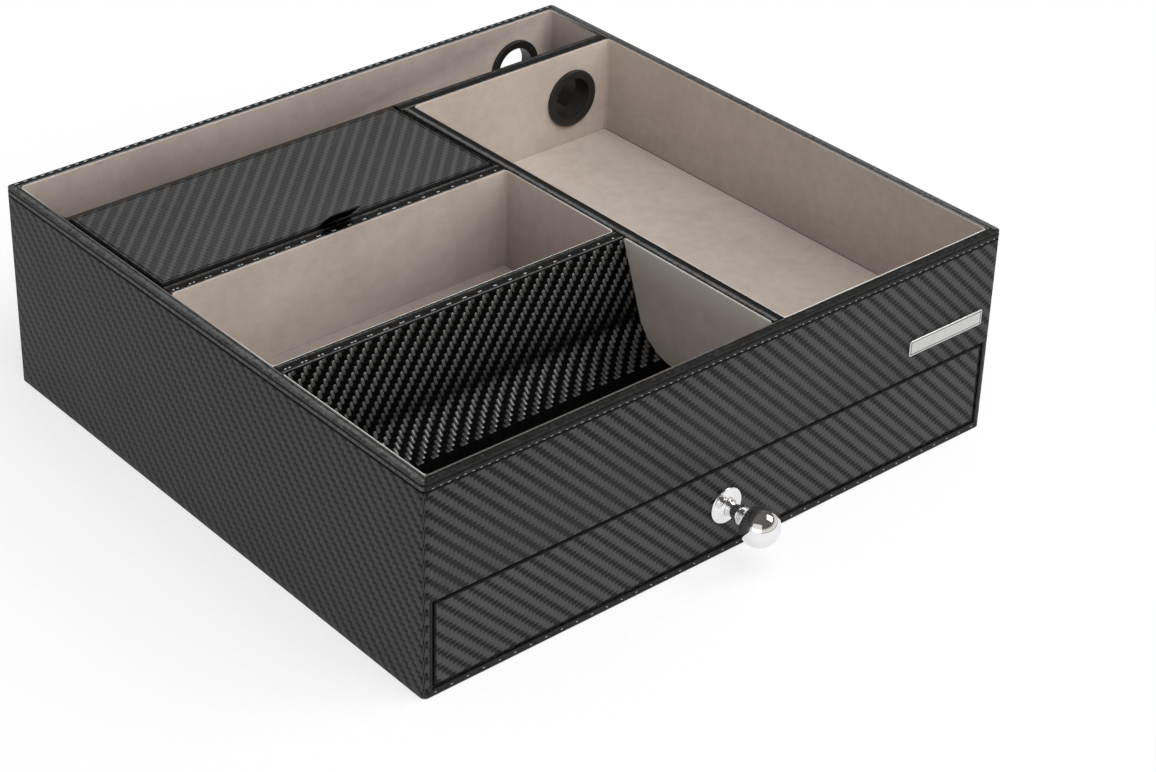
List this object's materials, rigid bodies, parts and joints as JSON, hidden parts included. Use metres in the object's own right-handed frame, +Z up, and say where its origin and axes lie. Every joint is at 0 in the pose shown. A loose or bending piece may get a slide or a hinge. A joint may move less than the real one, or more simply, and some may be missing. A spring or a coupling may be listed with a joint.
{
  "type": "desktop valet tray with drawer",
  "caption": "Low leather-covered box with open suede-lined bays, a hinged lid over one bay, a coin ramp, cable holes and a full-width drawer with a round knob.",
  "frame": {"origin": "centre of the case's underside, on the surface it stands on", "axes": "+Z up, +X to the right seen from the front, +Y to the back; the drawer opens towards -Y"},
  "size_m": [0.279, 0.2913, 0.0982],
  "materials": {
    "carbon_leather": "matt, embossed with a twill",
    "edge_leather": "matt, stitched",
    "gloss_leather": "glossy, embossed with a twill",
    "strap_leather": "smooth",
    "suede_lining": "short suede nap",
    "case_board": "plain fibreboard",
    "drawer_board": "board wrapped in matt black",
    "underside_felt": "short felt",
    "grommet_plastic": "matt black",
    "knob_chrome": "polished",
    "badge_metal": "satin",
    "screw_steel": "plated"
  },
  "bodies": {
    "case": {"base_felt": "underside_felt", "base_board": "case_board", "left_wall_board": "case_board", "right_wall_board": "case_board", "back_wall_board": "case_board", "front_panel_board": "case_board", "deck_board": "case_board", "rear_divider_board": "case_board", "mid_divider_board": "case_board", "lid_divider_board": "case_board", "coin_divider_board": "case_board", "outer_leather_wrap": "carbon_leather", "rim_binding": "edge_leather", "mid_divider_binding": "edge_leather", "rear_divider_binding": "edge_leather", "lid_divider_binding": "edge_leather", "coin_divider_binding": "edge_leather", "lid_recess_band": "edge_leather", "lid_ledge_front": "case_board", "lid_ledge_left": "case_board", "lid_ledge_right": "case_board", "rear_slot_wall_lining": "suede_lining", "rear_slot_floor_lining": "suede_lining", "right_bay_wall_lining": "suede_lining", "right_bay_floor_lining": "suede_lining", "lid_bay_wall_lining": "suede_lining", "lid_bay_floor_lining": "suede_lining", "open_bay_wall_lining": "suede_lining", "open_bay_floor_lining": "suede_lining", "coin_bay_wall_lining": "suede_lining", "coin_ramp_block": "case_board", "coin_ramp_leather": "gloss_leather", "back_grommet_bush": "grommet_plastic", "back_grommet_ring": "grommet_plastic", "divider_grommet_bush": "grommet_plastic", "divider_grommet_ring": "grommet_plastic", "badge_plate": "badge_metal", "lid_hinge_strip": "strap_leather"},
    "lid": {"lid_board": "case_board", "lid_leather": "carbon_leather", "lid_lining": "suede_lining", "lid_pull_tab": "strap_leather"},
    "drawer": {"drawer_front_board": "drawer_board", "drawer_front_leather": "carbon_leather", "drawer_left_side": "drawer_board", "drawer_right_side": "drawer_board", "drawer_back_board": "drawer_board", "drawer_bottom_board": "drawer_board", "drawer_wall_lining": "suede_lining", "drawer_floor_lining": "suede_lining", "knob_rosette": "knob_chrome", "knob_ball": "knob_chrome", "knob_screw": "screw_steel", "knob_washer": "screw_steel"}
  },
  "joints": [
    {"name": "lid_hinge", "type": "hinge", "parent": "case", "child": "lid", "pos_m": [-0.05635, 0.0963, 0.0843], "axis": [-1, 0, 0], "range_deg": [0, 160]},
    {"name": "drawer_slide", "type": "slide", "parent": "case", "child": "drawer", "axis": [0, -1, 0], "range_m": [0, 0.2]}
  ]
}
